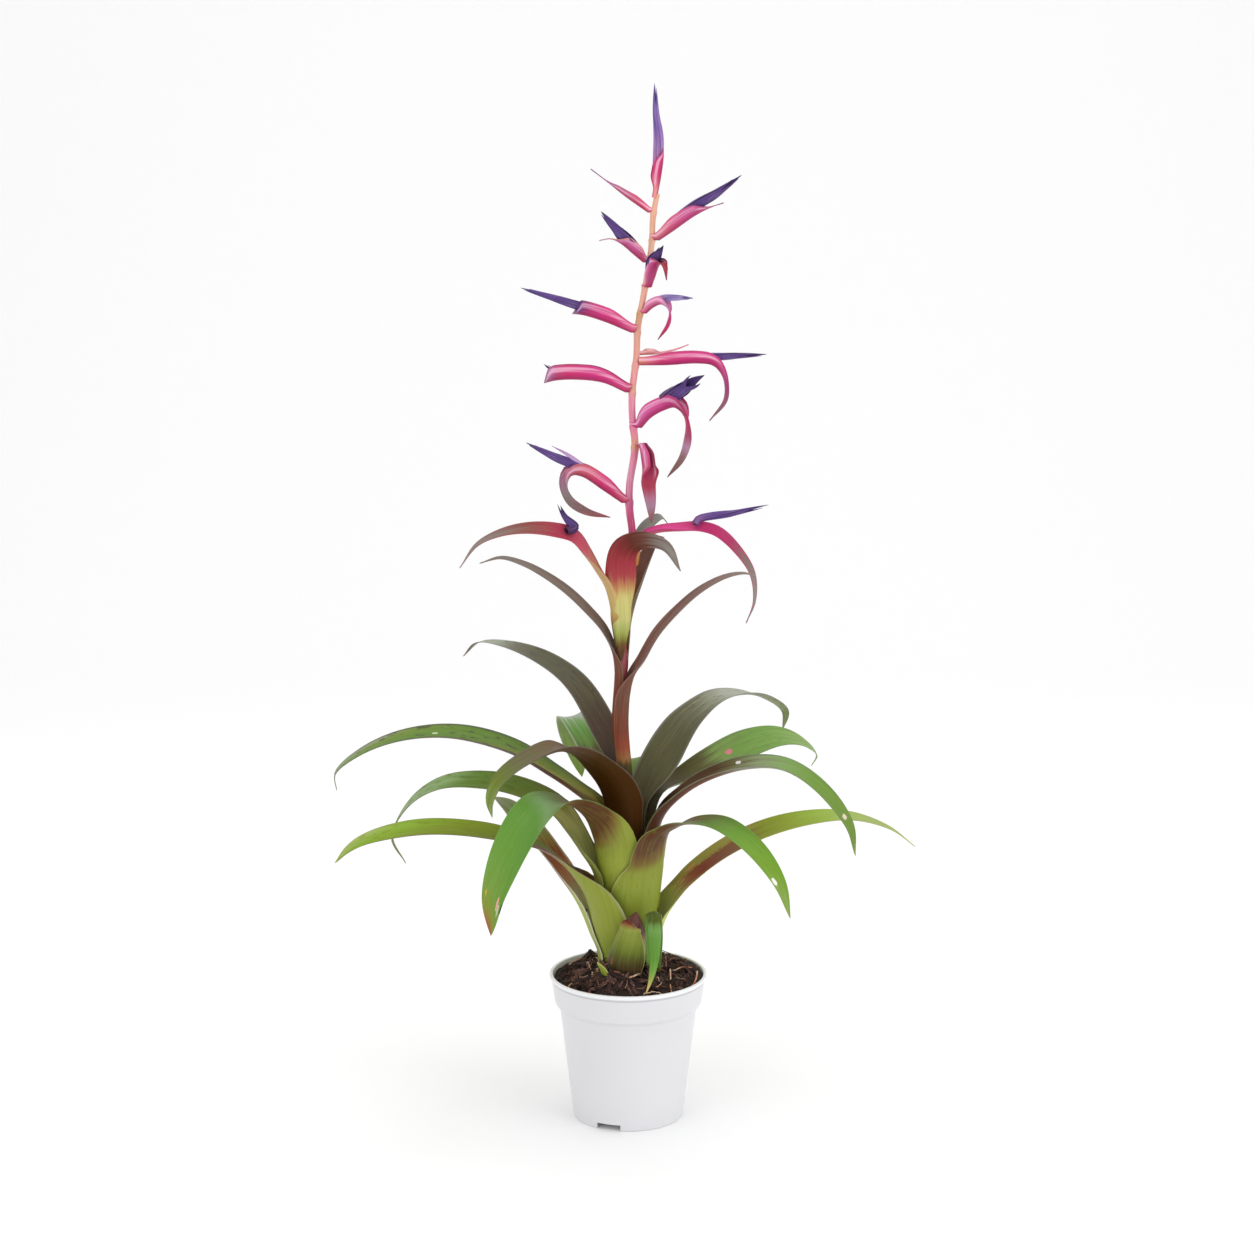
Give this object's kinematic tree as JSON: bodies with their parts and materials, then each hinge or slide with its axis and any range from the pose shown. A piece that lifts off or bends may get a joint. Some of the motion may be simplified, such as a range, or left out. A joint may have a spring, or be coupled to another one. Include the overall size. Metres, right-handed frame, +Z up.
{
  "type": "potted tillandsia",
  "caption": "Potted air plant: a rosette of arching leaves with a pup, and a tall stem of pink bracts and violet flowers, in a white nursery pot of bark mix.",
  "frame": {"origin": "middle of the pot's foot, on the surface it stands on", "axes": "+Z up along the flowering stem, -Y to the front, where the pup stands"},
  "size_m": [0.4518, 0.2661, 0.776],
  "materials": {
    "pot": "satin moulded plastic",
    "soil": "rough bark chips and fibre",
    "leaf_green": "satin leaf",
    "leaf_dark": "satin leaf, dark olive to brown",
    "stem": "satin stem",
    "stem_leaf": "satin leaf, brown to crimson",
    "bract": "satin bract",
    "flower": "soft petal",
    "pup": "satin leaf"
  },
  "bodies": {
    "root": {"pot": "pot", "soil": "soil", "leaf_left_outer": "leaf_green", "leaf_right_low": "leaf_green", "leaf_back_low": "leaf_green", "leaf_left_low": "leaf_green", "leaf_front_right": "leaf_green", "leaf_back_middle": "leaf_green", "leaf_front_left": "leaf_green", "leaf_back_tall": "leaf_green", "leaf_left_middle": "leaf_green", "leaf_right_arching": "leaf_green", "leaf_left_upper": "leaf_green", "leaf_right_spotted": "leaf_green", "leaf_dark_twisted": "leaf_dark", "leaf_back_short": "leaf_green", "leaf_tall_right": "leaf_dark", "leaf_tall_left": "leaf_dark", "flower_stem": "stem", "short_stem": "stem", "stem_leaf_right": "stem_leaf", "stem_leaf_left": "stem_leaf", "stem_bract_behind": "stem_leaf", "stem_bract_left": "stem_leaf", "stem_flower_left": "flower", "stem_bract_front": "stem_leaf", "stem_bract_right": "stem_leaf", "stem_flower_right": "flower", "stem_bract_small": "stem_leaf", "bract_01_right": "bract", "bract_02_left": "bract", "flower_02_left": "flower", "bract_03_right": "bract", "flower_03_right": "flower", "bract_04_left": "bract", "flower_04_left": "flower", "bract_05_right": "bract", "flower_05_right": "flower", "bract_05_pale": "bract", "bract_06_left": "bract", "flower_06_left": "flower", "bract_07_right": "bract", "flower_07_right": "flower", "bract_08_front": "bract", "flower_08_front": "flower", "bract_09_left": "bract", "flower_09_left": "flower", "bract_10_right": "bract", "flower_10_right": "flower", "bract_11_left": "bract", "bract_12_top": "bract", "flower_12_top": "flower", "pup_bud": "pup", "pup_scale": "pup", "pup_leaf": "pup", "leaf_stub": "pup"}
  },
  "joints": []
}
